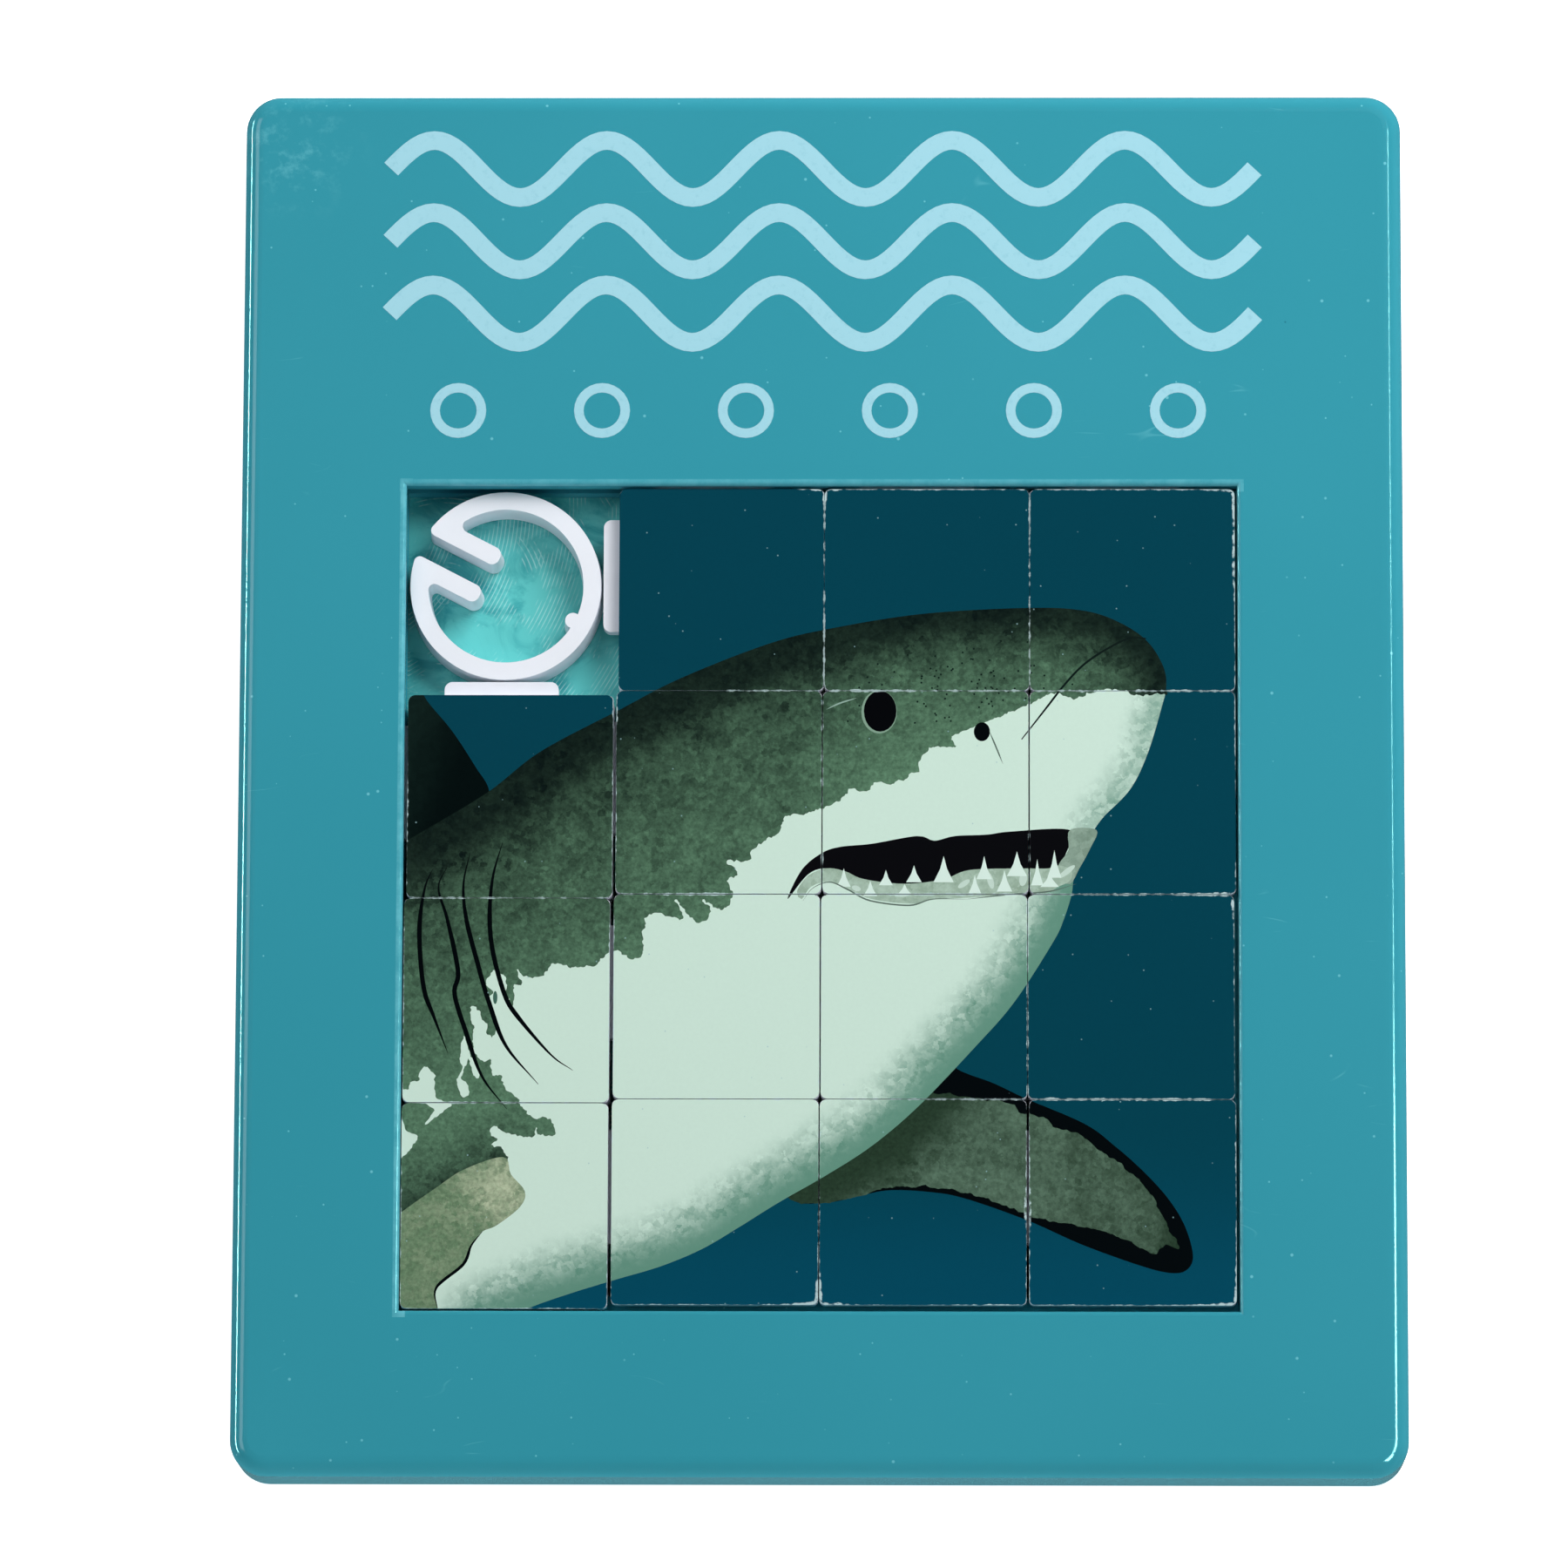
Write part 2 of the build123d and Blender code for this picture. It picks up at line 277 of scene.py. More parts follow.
    def colour(self, value):
        self.put(value, self.shader.inputs["Base Color"])
        return self.material


def case_finish():
    """Glossy teal, with dust, hairline scratches and a faint unevenness, and a painted highlight along the window's
    left and top rim.
    """
    teal = Finish("case_plastic", 0.09)
    shade = teal.blend(linear(51, 150, 167), linear(59, 158, 176), teal.noise(30.0, 2.0))
    marks = teal.calc("ADD", teal.specks(1.3, 0.26, 0.3), teal.specks(0.8, 0.16, 0.25, 7.0))
    for turn, seed in ((8, 3.0), (97, 11.0), (52, 23.0)):
        lines = teal.calc("MULTIPLY", teal.scratches(turn, seed), 0.35)
        marks = teal.calc("ADD", marks, lines)
    # A pale, patchy area near the case's top-left corner.
    pale_corner_patch = teal.calc("MULTIPLY", teal.near((-34.5, 41.5), 6.0), teal.fade(teal.noise(1.3, 5.0, 0.7), 0.48, 0.72))
    marks = teal.calc("ADD", marks, teal.calc("MULTIPLY", pale_corner_patch, 0.55))
    # Painted highlight: a pale band along the window's left rim, fainter along its top rim, broken into patches.
    rim_highlight_patches = teal.fade(teal.noise(1.6, 4.0, 0.7), 0.3, 0.7, 0.25, 0.8)
    marks = teal.calc("ADD", marks, teal.calc("MULTIPLY", teal.rim(WINDOW_CENTRE, WINDOW_HALF, 0.45), rim_highlight_patches))
    marks = teal.calc("MINIMUM", marks, 1.0)
    # The pale teal covers the specks, the scratches, the corner patch and the painted rim highlight.
    pale = teal.blend(shade, linear(120, 205, 218), teal.calc("MULTIPLY", marks, 0.8))
    dirt = teal.calc("MULTIPLY", teal.specks(1.6, 0.2, 0.1, 31.0), 0.6)
    return teal.colour(teal.blend(pale, linear(20, 90, 110), dirt))


def floor_finish():
    """The same teal, plain at the back. Inside, tiles have clouded it and cut fine arcs into it."""
    green = Finish("floor_plastic", 0.22)
    cloud = green.fade(green.noise(3.4, 5.0, 0.68, 0.8), 0.3, 0.58)
    shade = green.blend(linear(54, 158, 164), linear(98, 200, 198), cloud)
    marks = green.arcs((-33.0, 18.5), 0.25, 5.0, 2.8, 0.48)
    marks = green.calc("MAXIMUM", marks, green.arcs((-24.5, 12.5), 0.3, 14.0, 2.0, 0.57))
    rubbed = green.blend(shade, linear(214, 246, 244), green.calc("MULTIPLY", marks, 0.4))
    plain = green.blend(linear(51, 150, 167), linear(59, 158, 176), green.noise(30.0, 2.0))
    height = green.make("SeparateXYZ", 2, {0: green.place})
    inside = green.fade(height, (FLOOR_TOP - 0.4) * MM, (FLOOR_TOP - 0.2) * MM)
    return green.colour(green.blend(plain, rubbed, inside))


def white_finish(name, roughness, shade):
    plastic = Finish(name, roughness)
    uneven = plastic.noise(3.0, 4.0, 0.6)
    darker = [value * 0.96 for value in shade]
    return plastic.colour(plastic.blend(linear(*darker), linear(*shade), uneven))


def film_finish():
    """Printed film. Each corner of its mesh carries two colours and how they are brushed together."""
    film = Finish("picture_film", 0.3, 0.06)
    paint = film.make("Attribute", "Color", {}, attribute_name="paint")
    tone = film.make("Attribute", "Color", {}, attribute_name="tone")
    brush = film.tree.nodes.new("ShaderNodeAttribute")
    brush.attribute_name = "brush"
    split = film.tree.nodes.new("ShaderNodeSeparateColor")
    film.tree.links.new(brush.outputs["Color"], split.inputs[0])
    cover, grit, grain = split.outputs
    fine = film.noise(0.25, 4.0, 0.65)
    mottle = 0.0
    layers = ((film.noise(3.2, 4.0, 0.62), 0.45), (film.dabs(0.42), 0.17), (film.noise(0.6, 5.0, 0.7, 1.0), 0.38))
    for layer, weight in layers:
        mottle = film.calc("ADD", mottle, film.calc("MULTIPLY", layer, weight))
    swing = film.calc("MULTIPLY", film.calc("SUBTRACT", mottle, 0.5), grit)
    halfway = film.calc("MULTIPLY", film.calc("MULTIPLY", cover, film.calc("SUBTRACT", 1.0, cover)), 4.0)
    swing = film.calc("MULTIPLY", swing, halfway)
    share = film.level(film.calc("ADD", cover, swing), 0.0, 1.0)
    colour = film.blend(paint, tone, share)
    swing = film.calc("MULTIPLY", film.calc("SUBTRACT", fine, 0.5), grain)
    light = film.calc("ADD", swing, 1.0)
    grey = film.make("CombineColor", 0, {0: light, 1: light, 2: light})
    inputs = {6: colour, 7: grey, 0: 1.0}
    colour = film.make("Mix", 2, inputs, data_type="RGBA", blend_type="MULTIPLY")
    dust = film.calc("MULTIPLY", film.specks(0.5, 0.13, 0.16), 0.6)
    colour = film.blend(colour, linear(150, 190, 195), dust)
    wear = film.calc("ADD", film.noise(0.5, 3.0, 0.6), film.calc("MULTIPLY", film.noise(5.0, 2.0), 0.6))
    edge = film.calc("SUBTRACT", brush.outputs["Alpha"], wear)
    worn = film.fade(edge, -0.84, -0.66, 0.8, 0.0)
    return film.colour(film.blend(colour, linear(202, 226, 228), worn))


def ink_finish():
    """Pale blue screen print, thin enough that a little teal shows through."""
    ink = Finish("band_ink", 0.3)
    thin = ink.fade(ink.noise(0.5, 5.0, 0.7), 0.5, 0.75, 0.0, 0.35)
    return ink.colour(ink.blend(linear(165, 218, 232), linear(125, 190, 208), thin))


# ---- outlines ----
def spline(points, step=0.3, closed=False):
    """Points about step apart on a smooth curve through the given points."""
    p = np.array(points, float)
    if closed:
        p = np.vstack([p[-1], p, p[0], p[1]])
    else:
        p = np.vstack([2 * p[0] - p[1], p, 2 * p[-1] - p[-2]])
    parts = []
    for before, start, end, after in zip(p, p[1:], p[2:], p[3:]):
        count = max(1, math.ceil(np.linalg.norm(end - start) / step))
        t = (np.arange(count) / count)[:, None]
        square = (2 * before - 5 * start + 4 * end - after) * t**2
        cube = (3 * start - 3 * end + after - before) * t**3
        parts.append((2 * start + (end - before) * t + square + cube) / 2)
    if not closed:
        parts.append(p[-2:-1])
    return np.vstack(parts)


def normals(line):
    """Unit vectors to the left of a line at each of its points."""
    along = np.gradient(line, axis=0)
    along /= np.maximum(np.linalg.norm(along, axis=1), 1e-9)[:, None]
    return np.column_stack([-along[:, 1], along[:, 0]])


def ragged(line, reach, grain, seed):
    """The line torn sideways by up to about reach, with tears about grain long."""
    run = np.concatenate([[0], np.cumsum(np.linalg.norm(np.diff(line, axis=0), axis=1))])
    shift = np.array([
        noise.noise(Vector((s / grain, seed, 0))) + 0.6 * noise.noise(Vector((s / grain * 2.7, seed, 9)))
        for s in run
    ])
    return line + normals(line) * (reach * shift)[:, None]


def stroke(points, width, ends=(0.1, 0.1), step=0.25):
    """Outline of a pen stroke that is width wide in the middle and thins towards its ends."""
    line = spline(points, step)
    share = np.linspace(0, 1, len(line))
    half = np.interp(share, [0, 0.3, 0.7, 1], [ends[0], 1, 1, ends[1]]) * width / 2
    side = normals(line) * half[:, None]
    return np.vstack([line + side, (line - side)[::-1]])


def circle(centre, radii, count=24, turn=0.0):
    angles = np.linspace(0, 2 * math.pi, count, endpoint=False)
    x = radii[0] * np.cos(angles)
    y = radii[1] * np.sin(angles)
    c, s = math.cos(math.radians(turn)), math.sin(math.radians(turn))
    return np.column_stack([centre[0] + c * x - s * y, centre[1] + s * x + c * y])


def rounded_square(low, high, radius, steps=6):
    """Outline of an upright rectangle with round corners, anticlockwise."""
    points = []
    corners = ((high[0], low[1], -90), (high[0], high[1], 0), (low[0], high[1], 90), (low[0], low[1], 180))
    for x, y, start in corners:
        cx = min(max(x, low[0] + radius), high[0] - radius)
        cy = min(max(y, low[1] + radius), high[1] - radius)
        for k in range(steps + 1):
            angle = math.radians(start + 90 * k / steps)
            points.append((cx + radius * math.cos(angle), cy + radius * math.sin(angle)))
    return divided(np.array(points), 0.8)


def divided(outline, step):
    """The closed outline with extra points, so that none of its edges is longer than step."""
    parts = []
    for start, end in zip(outline, np.roll(outline, -1, axis=0)):
        count = max(1, math.ceil(np.linalg.norm(end - start) / step))
        parts.append(start + (end - start) * (np.arange(count) / count)[:, None])
    return np.vstack(parts)


def inside(points, outline):
    """True for each point that lies inside the outline."""
    x, y = points[:, :1], points[:, 1:]
    ax, ay = outline[:, 0], outline[:, 1]
    bx, by = np.roll(ax, -1), np.roll(ay, -1)
    across = (ay > y) != (by > y)
    slope = (bx - ax) / np.where(by == ay, 1e-12, by - ay)
    hit = across & (x < ax + (y - ay) * slope)
    return hit.sum(axis=1) % 2 == 1


def distance(points, line):
    """Distance of each point from an open line."""
    a, b = line[:-1], line[1:]
    ab = b - a
    best = np.full(len(points), 1e9)
    for start, step in zip(a, ab):
        t = np.clip((points - start) @ step / max(step @ step, 1e-12), 0, 1)
        best = np.minimum(best, np.linalg.norm(points - start - t[:, None] * step, axis=1))
    return best


def ease(value, low, high):
    """Smooth step from 0 at low to 1 at high."""
    t = np.clip((value - low) / (high - low), 0, 1)
    return t * t * (3 - 2 * t)


# ---- the printed picture: a shark that swims up to the right ----
BACK_LINE = [
    (-29, -5.5), (-25, -3.2), (-21.3, -0.9), (-18, 1.7), (-13, 4.4), (-9, 6.5), (-3.5, 8.7), (0.4, 9.7),
    (6.5, 10.7), (13.4, 11.1), (17, 10.9), (19.3, 10.1), (21, 8.9), (22, 7.3), (22.2, 6), (21.9, 4.6),
    (21, 1.6), (19.9, -0.7), (18.2, -2.5), (17.6, -3.3),
]
JAW_LINE = [
    (17.2, -4.6), (16.3, -6.4), (16.1, -7.6), (15.6, -9.2), (14.9, -10.7), (12.4, -14.6), (9.8, -17.6),
    (6.3, -21.3), (3.4, -23.8), (0.5, -25.7), (-2.6, -27.5), (-5.3, -29.2), (-7.5, -30.5),
    (-10.1, -31.6), (-13.1, -32.5), (-16, -33.4), (-18.5, -34.3), (-21, -35.5),
]
PALE_EDGE = [
    (22.3, 5.5), (20.6, 5.4), (18.3, 5.8), (16.5, 5.2), (14.9, 5.5), (13.4, 4.8), (11, 3.8), (9.6, 3.2),
    (8.4, 2.7), (8.6, 2), (7.2, 2), (6.5, 1.3), (6, 0.3), (4.5, -0.4), (3.5, -0.3), (2.8, -1),
    (2.1, -0.7), (1.1, -1.5), (-0.4, -2.2), (-2.3, -2.6), (-2.7, -3.6), (-4.2, -4.5), (-4.6, -5.4),
    (-5.9, -5.4), (-5.3, -6.3), (-6, -6.7), (-5.6, -7.6), (-6.3, -8.6), (-7.5, -8), (-7, -8.8),
    (-7.9, -9.4), (-9.3, -8), (-8.8, -9.2), (-10.6, -8.8), (-11.3, -9.6), (-11.4, -11.4),
    (-12.2, -11.8), (-13.2, -11.2), (-14.5, -12.2), (-16, -12.3), (-17.1, -12.1), (-17.8, -12.9),
    (-19, -12.9), (-19.4, -12.5), (-19.2, -13.3), (-19.6, -13.6), (-19.6, -14.7), (-19.9, -14.9),
    (-20.1, -13.4), (-20.4, -12.8), (-20.9, -12.6), (-21.4, -13.4), (-21.1, -13.8), (-21.2, -14.6),
    (-20.8, -15.7), (-20.8, -16.7), (-21.1, -16.8), (-21.5, -15.8), (-22.1, -14.9), (-22.4, -15.1),
    (-22.2, -16.4), (-22.1, -17.8), (-21.5, -18.5), (-21.1, -18.3), (-20.9, -19.3), (-20.4, -19.4),
    (-20.1, -20.1), (-19.4, -20.8), (-18.3, -22.1), (-17.4, -22), (-16.9, -22.8), (-17, -23.2),
    (-18, -23.1), (-18.1, -22.7), (-18.4, -23.3), (-20.1, -23), (-20.7, -22.6), (-21.1, -22.9),
    (-20.6, -23.5), (-21, -23.8), (-20.3, -24.1), (-19.9, -24.9), (-21, -25.3), (-24.5, -27),
    (-28.5, -30.5),
]
DORSAL_FIN = [(-29, 9), (-26, 5.9), (-25.2, 4.8), (-23.7, 3), (-22.2, 0.7), (-21.3, -0.9), (-21.6, -3), (-29, -7)]
FAR_FIN = [
    (7, -17.5), (8.8, -18.9), (11.1, -19.8), (13.2, -20.8), (16.9, -22.4), (18.8, -23.8), (20.7, -25.5),
    (22.3, -27.3), (23.3, -29), (23.8, -30.8), (23.5, -31.7), (22.6, -32), (20.7, -31.6),
    (16.8, -30.2), (13.2, -28.6), (9.2, -27.2), (6.9, -26.8), (4.5, -26.7), (2.8, -27), (0.5, -27.5),
    (-1.8, -27.3), (-3, -25),
]
FAR_FIN_MIDDLE = [
    (5, -19), (7.2, -20.3), (9.6, -20.7), (12.1, -21.1), (13, -21.7), (14.4, -22.1), (15.4, -22.8),
    (16.6, -23.1), (18, -24.2), (19.6, -25.3), (21.1, -26.9), (22.1, -28.8), (22.9, -30.4),
    (22.1, -30.2), (21.3, -30.7), (19.6, -29.9), (18, -29.3), (16.2, -28.9), (14.4, -28.6), (12.4, -27.9), (9.2, -26.8),
    (6.9, -26.5), (4.5, -26.5), (2.8, -27), (0.5, -27.5), (-1.8, -27.3), (-3, -25),
]
MOUTH = [
    (-2.1, -7.9), (-1.2, -6), (0.1, -4.9), (1.3, -4.5), (3.3, -4.3), (6.2, -3.8), (7.3, -4.1), (8.6, -3.8),
    (10.7, -3.7), (12.2, -3.5), (16, -3.4), (15.8, -4.8), (15.2, -5.8), (14.4, -6.3), (9.6, -6.2),
    (7.9, -6.8), (4.1, -7), (2.8, -6.8), (1.6, -6.3), (0.4, -5.9), (-0.8, -6.3),
]
GUM = [
    (-1.5, -7.4), (-0.8, -6.4), (0.4, -5.9), (1.6, -6.1), (2.8, -6.6), (5.4, -6.9), (7.9, -6.6),
    (9.6, -6), (13, -5.9), (14.6, -5.9), (15.3, -5.7), (16.1, -6), (16, -6.7), (15.2, -7.1), (14.4, -7.5), (11.9, -7.6), (9.5, -7.8), (7.2, -7.9), (5.9, -8.2), (3.3, -7.9),
    (1.9, -7.3), (0.5, -6.8), (-0.6, -7.1), (-1.2, -7.9),
]
LIP = [
    (16, -3.4), (17.7, -3.4), (17.3, -4.6), (16.6, -5.9), (16, -6.9), (15.2, -6.4), (15.3, -5.6), (15.9, -4.7),
]
TEETH = [
    (1.5, -5.9, 0.9, 1.2), (4.2, -6, 0.9, 1), (6, -5.7, 1, 1.1), (7.9, -5.1, 1.3, 1.7), (10.5, -5.1, 1, 1.5),
    (12.6, -4.8, 1.3, 1.6), (13.9, -5.3, 0.8, 1.7), (15, -4.7, 0.9, 1.8),
    (3.2, -6.7, 0.9, 1.0), (5.4, -6.9, 0.9, 0.7), (9.9, -6.3, 0.8, 1.2), (11.8, -6, 1, 1.4), (14.7, -6.2, 1.2, 0.9),
]
LOW_TEETH = [
    (2.3, -7.2, 0.6, 0.35, -20), (5.3, -7.6, 1.1, 0.3, 5), (9.2, -6.9, 0.9, 0.35, 35), (10.9, -6.7, 0.4, 1.1, 15),
    (13, -6.6, 0.5, 0.9, -10), (15.8, -6.1, 1.3, 0.35, 38),
]
NEAR_FIN = [
    (-29, -30), (-26.6, -28.1), (-24.5, -26.6), (-22.7, -25.4), (-20.2, -24.6), (-19.7, -25.7), (-18.8, -26.8),
    (-19.1, -27.8), (-20.6, -29), (-21.5, -29.4), (-22.2, -30.3), (-22.7, -31.5), (-24.4, -33),
    (-24.3, -34.3), (-24, -35.5), (-29, -35.5),
]
GILLS = [
    [(-24.9, -6), (-25.4, -7.3), (-25.7, -10), (-25.4, -13.6), (-24.7, -15.6), (-23.8, -17.9)],
    [(-24, -5.9), (-24.5, -7.2), (-23.9, -9.3), (-23.2, -12.6), (-23.4, -14.1), (-22.6, -16.7), (-21.6, -19.4), (-20, -21.5)],
    [(-22.5, -4.9), (-22.9, -7), (-22.7, -9.2), (-22, -11.9), (-21.2, -14.6), (-20.1, -17.4), (-18, -19.9)],
    [(-20.4, -4.2), (-21, -6.4), (-21.2, -8.8), (-21, -11.2), (-20.2, -14.1), (-19.3, -15.6), (-17.2, -18), (-15.8, -19)],
]
WHITE_PATCHES = [
    [
        (-25.2, -18.8), (-24.7, -19.3), (-24.6, -20.4), (-24.3, -20.9), (-23.6, -21.2), (-24.1, -21.7),
        (-25.2, -22.5), (-24.7, -21.6), (-25.1, -21.2), (-26.9, -20.9), (-26.9, -20.3), (-26.3, -20.2),
        (-26.2, -19.8), (-25.7, -19.7), (-25.6, -19.1),
    ],
    [(-26.9, -21.9), (-26.4, -22.9), (-25.7, -23.2), (-26, -23.9), (-26.6, -24.6), (-26.9, -24.6)],
    [
        (-22.8, -16.8), (-22.4, -17.9), (-21.8, -19.1), (-21.8, -19.5), (-22.1, -19.4), (-22.5, -18.2),
        (-22.6, -18.7), (-22.9, -19.2), (-22.9, -19.6), (-22.5, -19.9), (-22.5, -20.6), (-22.9, -20.7),
        (-23.2, -19.7), (-22.9, -18.9), (-23, -18.1),
    ],
]
EYE = (3.75, 4.3)
NOSTRIL = (10.35, 3.0)
CREASE = [(20.9, 9.1), (19.8, 9.1), (18.2, 8.3), (16.8, 7.3), (15.6, 6), (14.6, 4.7), (13.6, 3.4), (12.9, 2.5)]
EYE_SCRATCH = [(0.35, 4.45), (1.2, 4.85), (2.3, 5.2)]
FINE_LINES = [
    [(10.8, 3.1), (11.3, 1.9), (11.7, 0.9)],
    [(-1.1, -8), (-0.5, -7.2), (0.6, -6.8), (1.8, -7.3), (3.2, -8), (5.7, -8.3), (7.2, -7.9), (9.4, -7.9)],
    [(9.4, -7.9), (12, -7.6), (14.6, -7.4), (16.4, -6.9)],
]

SEA = (3, 64, 80)
LOWER_SEA = (3, 74, 97)
BLACK = (3, 6, 9)
BACK = (93, 131, 104)
BACK_SHADE = (8, 20, 19)
PALE = (205, 230, 216)
PALE_SHADE = (98, 145, 127)
# Places where the films' edges are more worn, or less: x, y, reach and how much
WEAR = [
    (26.6, 18.5, 1.6, 0.16), (26.6, 14, 2.2, 0.16), (0.3, 18.8, 1.2, 0.08), (-0.1, -33.8, 1.6, 0.16),
    (26.5, -34, 1.3, 0.16), (-13.3, 4.6, 1.6, 0.16), (26.4, -8.2, 1.2, 0.16), (13.3, -28, 1.2, 0.16),
    (-13.2, 12.5, 6.5, -0.35), (-20.5, 6.1, 5.5, -0.35), (-8, 19, 5, -0.2),
]

FILM_REACH = 0.062       # how far the film's torn edge runs past its nominal outline

back_line = spline(BACK_LINE)
jaw_line = spline(JAW_LINE)
snout_line = back_line[back_line[:, 0] > 17][len(back_line[back_line[:, 0] > 17]) // 3:]
left_foot = np.array([(-29.0, -35.5)])
body = np.vstack([back_line, jaw_line, left_foot])
pale_edge = ragged(spline(PALE_EDGE, 0.12), 0.22, 0.5, 3.0)
tip = np.flatnonzero(back_line[:, 1] > PALE_EDGE[0][1]).max()
back_region = np.vstack([back_line[:tip], pale_edge])
near_fin_top = np.array([(-29.0, -30.0), (-24.5, -26.6), (-20.2, -24.6)])


def flat_cover(points):
    return np.zeros(len(points))


def sea_cover(points):
    return ease(-points[:, 1], 22, 36)


def back_cover(points):
    """Near black along the outline, then green. The dark part is wider towards the tail."""
    deep = distance(points, back_line)
    ahead = ease(points[:, 0], -3, 6)
    rise = ease(deep, 1.2 - 0.7 * ahead, 5.5 - 1.0 * ahead)
    light = 0.04 + (0.33 + 0.14 * ahead) * rise + (0.035 + 0.035 * ahead) * np.maximum(deep - 5, 0)
    by_fin = 0.8 * np.exp(-distance(points, near_fin_top) / 2.6)
    return np.clip(np.maximum(1 - light, by_fin), 0, 1)


def fin_cover(points):
    return 0.3 + 0.7 * ease(points[:, 0] + 26.6 + 0.4 * (4 - points[:, 1]), 0, 5)


def pale_cover(points):
    under = 1 - ease(distance(points, jaw_line), 0.3, 4.2)
    front = 0.55 * (1 - ease(distance(points, snout_line), 0.0, 2.6))
    return np.maximum(under * ease(-points[:, 1], 4.5, 7), front)


def far_fin_cover(points):
    root = 1 - ease(distance(points, jaw_line), 0.8, 4.6)
    outer = 0.18 * ease(points[:, 0], 14, 18) + 0.45 * ease(points[:, 0], 20.5, 23)
    return np.clip(0.4 + 0.6 * root + outer, 0, 1)


def gum_cover(points):
    return np.full(len(points), 0.4)


def near_fin_cover(points):
    return 0.06 + 0.85 * np.exp(-np.hypot(points[:, 0] + 20, points[:, 1] + 26.6) / 1.9)


def pores():
    """Seeded places of the small dark dots on the snout, thicker towards its middle."""
    chance = np.random.default_rng(11)
    places = chance.normal((9.0, 6.0), (3.4, 1.6), (90, 2))
    return places[inside(places, back_region)]


def region(outline, paint, tone=None, cover=flat_cover, grit=0.0, grain=0.0):
    return {
        "outline": np.asarray(outline, float),
        "paint": linear(*paint),
        "tone": linear(*(tone or paint)),
        "cover": cover,
        "grit": grit,
        "grain": grain,
    }


def tooth(x, y, width, height):
    """A pointed tooth with its tip at (x, y) and slightly hollow sides."""
    half = width / 2
    return [
        (x, y), (x - half * 0.35, y - height * 0.5), (x - half, y - height),
        (x + half, y - height), (x + half * 0.35, y - height * 0.5),
    ]


def picture_regions():
    """Every painted area, each over the ones before it."""
    everywhere = [(-40, -50), (40, -50), (40, 30), (-40, 30)]
    fin_rim = ragged(spline(FAR_FIN_MIDDLE, 0.15), 0.18, 0.8, 8.0)
    areas = [
        region(everywhere, SEA, LOWER_SEA, sea_cover, 0.1, 0.12),
        region(spline(DORSAL_FIN, closed=True), (18, 36, 32), (4, 13, 13), fin_cover, 1.2, 0.5),
        region(spline(FAR_FIN, closed=True), BLACK),
        region(fin_rim, (93, 121, 102), (38, 58, 43), far_fin_cover, 2.0, 1.2),
        region(body, PALE, PALE_SHADE, pale_cover, 2.1, 0.06),
        region(back_region, BACK, BACK_SHADE, back_cover, 1.5, 1.5),
        region(spline(NEAR_FIN, closed=True), (100, 128, 98), (176, 188, 158), near_fin_cover, 3.2, 1.2),
    ]
    for x, y in pores():
        areas.append(region(circle((x, y), (0.07, 0.07), 6), (16, 30, 26)))
    for number, patch in enumerate(WHITE_PATCHES):
        outline = ragged(spline(patch, 0.12, closed=True), 0.15, 0.5, 20.0 + number)
        areas.append(region(outline, PALE))
    areas.append(region(circle((-20.8, -14.3), (0.14, 0.42)), (64, 104, 90)))
    areas.append(region(spline(MOUTH, closed=True), (9, 8, 12)))
    areas.append(region(spline(LIP, closed=True), (118, 143, 127), (160, 183, 168), gum_cover, 2.4, 0.4))
    areas.append(region(spline(GUM, closed=True), (136, 160, 140), (186, 211, 196), gum_cover, 2.4, 0.3))
    for x, y, width, height, turn in LOW_TEETH:
        areas.append(region(circle((x, y), (width / 2, height / 2), 14, turn), (194, 216, 204)))
    for values in TEETH:
        areas.append(region(tooth(*values), (215, 236, 226)))
    areas.append(region(circle(EYE, (1.15, 1.42)), (130, 160, 140)))
    areas.append(region(circle((EYE[0] + 0.06, EYE[1] + 0.04), (1.05, 1.34)), (5, 5, 8)))
    areas.append(region(circle(NOSTRIL, (0.52, 0.62)), BLACK))
    for line in GILLS:
        areas.append(region(stroke(line, 0.3), BLACK))
    areas.append(region(stroke(CREASE, 0.14, (0.6, 0.5)), (14, 26, 24)))
    areas.append(region(stroke(EYE_SCRATCH, 0.1), (140, 168, 156)))
    areas.append(region(stroke([(-21.5, -29.4), (-22.2, -30.3), (-22.7, -31.5), (-24.4, -33), (-24.3, -34.4)], 0.2), BLACK))
    for line in FINE_LINES:
        areas.append(region(stroke(line, 0.1), (90, 110, 100)))
    return areas


# ---- meshes ----
def new_piece(name, vertices, faces, material):
    mesh = bpy.data.meshes.new(name)
    mesh.from_pydata([tuple(v) for v in vertices], [], [tuple(f) for f in faces])
    mesh.materials.append(material)
    piece = bpy.data.objects.new(name, mesh)
    bpy.context.scene.collection.objects.link(piece)
    return piece


def loop_edges(start, count):
    return [(start + k, start + (k + 1) % count) for k in range(count)]


def near_box(outline, low, high, margin=0.5):
    return (
        outline[:, 0].max() > low[0] - margin and outline[:, 0].min() < high[0] + margin
        and outline[:, 1].max() > low[1] - margin and outline[:, 1].min() < high[1] + margin
    )


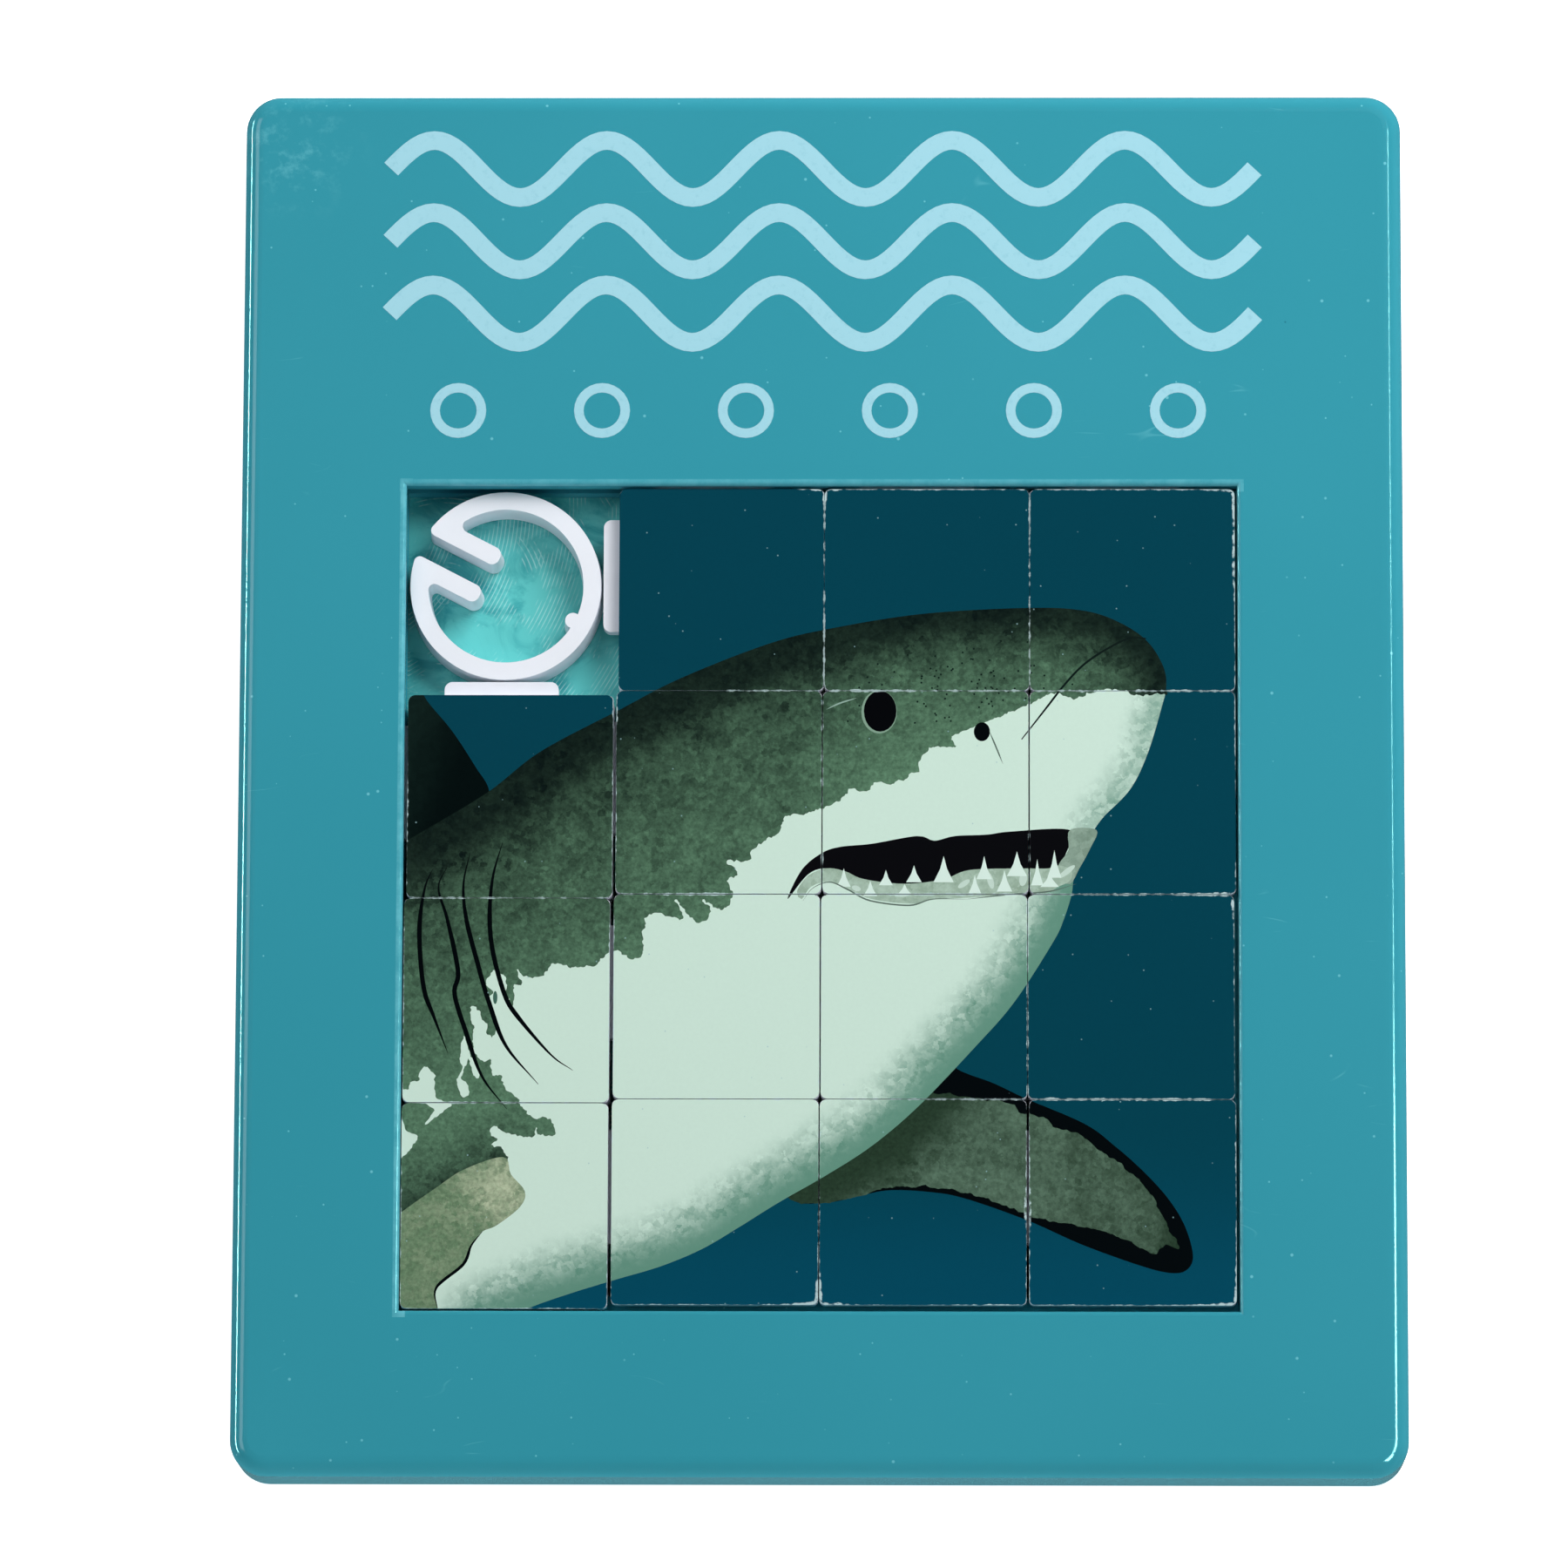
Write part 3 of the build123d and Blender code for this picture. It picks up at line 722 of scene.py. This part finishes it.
def picture_piece(node, body_name, areas, material):
    """One tile's film: a flat top cut along every painted outline, with thin sides below it."""
    low, high = (np.array(corner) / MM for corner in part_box(node))
    low[:2] -= FILM_REACH
    high[:2] += FILM_REACH
    rim = rounded_square(low, high, 0.45)
    here = [area for area in areas if near_box(area["outline"], low, high)]
    points = []
    edges = []
    loops = [rim, rounded_square(low[:2] + 0.12, high[:2] - 0.12, 0.4), rounded_square(low[:2] + 0.4, high[:2] - 0.4, 0.2)]
    loops += [area["outline"] for area in here[1:]]
    for loop in loops:
        edges += loop_edges(len(points), len(loop))
        points += list(loop)
    rows = np.arange(0.6, high[0] - low[0] - 0.4, 0.45)
    for x in low[0] + rows:
        for y in low[1] + rows:
            points.append((x, y))
    cut = delaunay_2d_cdt([Vector(p) for p in points], edges, [], 0, 1e-5)
    flat = np.array([tuple(v) for v in cut[0]])
    faces = np.array([f for f in cut[2] if len(f) == 3])
    centres = flat[faces].mean(axis=1)
    keep = inside(centres, rim)
    faces, centres = faces[keep], centres[keep]
    used, faces = np.unique(faces, return_inverse=True)
    flat, faces = flat[used], faces.reshape(-1, 3)
    turned = np.cross(flat[faces[:, 1]] - flat[faces[:, 0]], flat[faces[:, 2]] - flat[faces[:, 0]]) < 0
    faces[turned] = faces[turned][:, ::-1]
    count = len(flat)
    sides = side_faces(faces, count)
    vertices = np.vstack([np.column_stack([flat, np.full(count, z)]) for z in (high[2], low[2])]) * MM
    piece = new_piece(node + "_print", vertices, list(map(tuple, faces)) + sides, material)
    add_brushwork(piece.data, flat, faces, centres, here, low, high)
    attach(piece, body_name)
    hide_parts(node)


def side_faces(faces, count):
    """Faces down from the top's border, which is made of the edges that only one face has."""
    seen = {}
    for a, b, c in faces.tolist():
        for edge in ((a, b), (b, c), (c, a)):
            seen[edge] = True
    return [(b, a, a + count, b + count) for a, b in seen if (b, a) not in seen]


def add_brushwork(mesh, flat, faces, centres, here, low, high):
    """Writes each top corner's two colours, and its cover, grit, grain and nearness to a worn edge."""
    top = np.zeros(len(faces), int)
    for number, area in enumerate(here):
        top[inside(centres, area["outline"])] = number
    edge = np.minimum(np.minimum(flat - low[:2], high[:2] - flat).min(axis=1), 1.0)
    for x, y, reach, amount in WEAR:
        edge = edge - amount * np.exp(-((flat[:, 0] - x) ** 2 + (flat[:, 1] - y) ** 2) / reach**2)
    edge = np.clip(edge / 0.29, 0, 1)
    corners = len(mesh.loops)
    paint = np.tile(linear(200, 210, 215), (corners, 1))
    tone = paint.copy()
    brush = np.zeros((corners, 4))
    brush[:, 3] = 1
    for number, area in enumerate(here):
        picked = np.repeat(top == number, 3)
        where = np.flatnonzero(picked)
        if len(where) == 0:
            continue
        index = faces.ravel()[where]
        paint[where] = area["paint"]
        tone[where] = area["tone"]
        brush[where, 0] = area["cover"](flat[index])
        brush[where, 1] = area["grit"]
        brush[where, 2] = area["grain"]
        brush[where, 3] = edge[index]
    for name, values in (("paint", paint), ("tone", tone), ("brush", brush)):
        attribute = mesh.attributes.new(name, "FLOAT_COLOR", "CORNER")
        attribute.data.foreach_set("color", values.astype(np.float32).ravel())


def ring_ribbon(centre, radius, width, count=28):
    outer = circle(centre, (radius + width / 2, radius + width / 2), count)
    inner = circle(centre, (radius - width / 2, radius - width / 2), count)
    return outer, inner


def add_ornament(material):
    """Screen-printed ripples and bubbles on the wide band."""
    thick = 0.02
    base = CASE_TOP
    vertices = []
    faces = []

    def ribbon(left, right, closed):
        count = len(left)
        start = len(vertices)
        for z in (base + thick, base - thick):
            for x, y in list(left) + list(right):
                vertices.append((x * MM, y * MM, z * MM))
        last = count if closed else count - 1
        for k in range(last):
            n = (k + 1) % count
            a, b, c, d = start + k, start + n, start + count + n, start + count + k
            under = 2 * count
            faces.append((a, d, c, b))
            faces.append((b + under, c + under, d + under, a + under))
            faces.append((a, b, b + under, a + under))
            faces.append((d + under, c + under, c, d))
        if not closed:
            a, b = start, start + count
            faces.append((a, a + 2 * count, b + 2 * count, b))
            a, b = start + count - 1, start + 2 * count - 1
            faces.append((b, b + 2 * count, a + 2 * count, a))

    for y in (40.0, 35.2, 30.4):
        x = np.linspace(-28, 28, 141)
        wave = np.column_stack([x, y + 1.9 * np.sin((x + 28) / 56 * 2 * math.pi * 5)])
        side = normals(wave) * 0.62
        ribbon(wave + side, wave - side, False)
    for k in range(6):
        outer, inner = ring_ribbon((-23.5 + 9.3 * k, 24.0), 1.5, 0.62)
        ribbon(inner, outer, True)
    piece = new_piece("band_ornament", vertices, faces, material)
    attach(piece, "case")


def add_floor():
    half = FLOOR_SIZE / 2 * MM
    z = cad_box[0].z - 0.0002
    corners = [(-half, -half, z), (half, -half, z), (half, half, z), (-half, half, z)]
    pale = Finish("studio_floor", 0.9, 0.0)
    pale.colour(pale.blend(linear(226, 226, 226), linear(229, 229, 229), pale.noise(120.0)))
    pale.put((1, 1, 1, 1), pale.shader.inputs["Emission Color"])
    pale.put(0.9, pale.shader.inputs["Emission Strength"])
    floor = new_piece("studio_floor", corners, [(0, 1, 2, 3)], pale.material)
    floor.visible_glossy = False


def finish_nodes():
    """Gives every CAD node that stays in view its own finish."""
    finishes = {
        "front_frame": case_finish(),
        "back_plate": floor_finish(),
        "spring_ring": white_finish("ring_plastic", 0.5, (243, 245, 253)),
    }
    tile = white_finish("tile_plastic", 0.3, (243, 245, 253))
    for name, node in nodes.items():
        if name.startswith("picture_"):
            continue
        node.data.materials.clear()
        node.data.materials.append(finishes.get(name, tile))


add_camera()
add_lights()
add_world()
add_floor()
bpy.context.scene.view_settings.view_transform = "Standard"
finish_nodes()
film = film_finish()
painted = picture_regions()
for body_name, members in frame["record"]["behaviour"]["bodies"].items():
    for member in members:
        if member.startswith("picture_"):
            picture_piece(member, body_name, painted, film)
add_ornament(ink_finish())
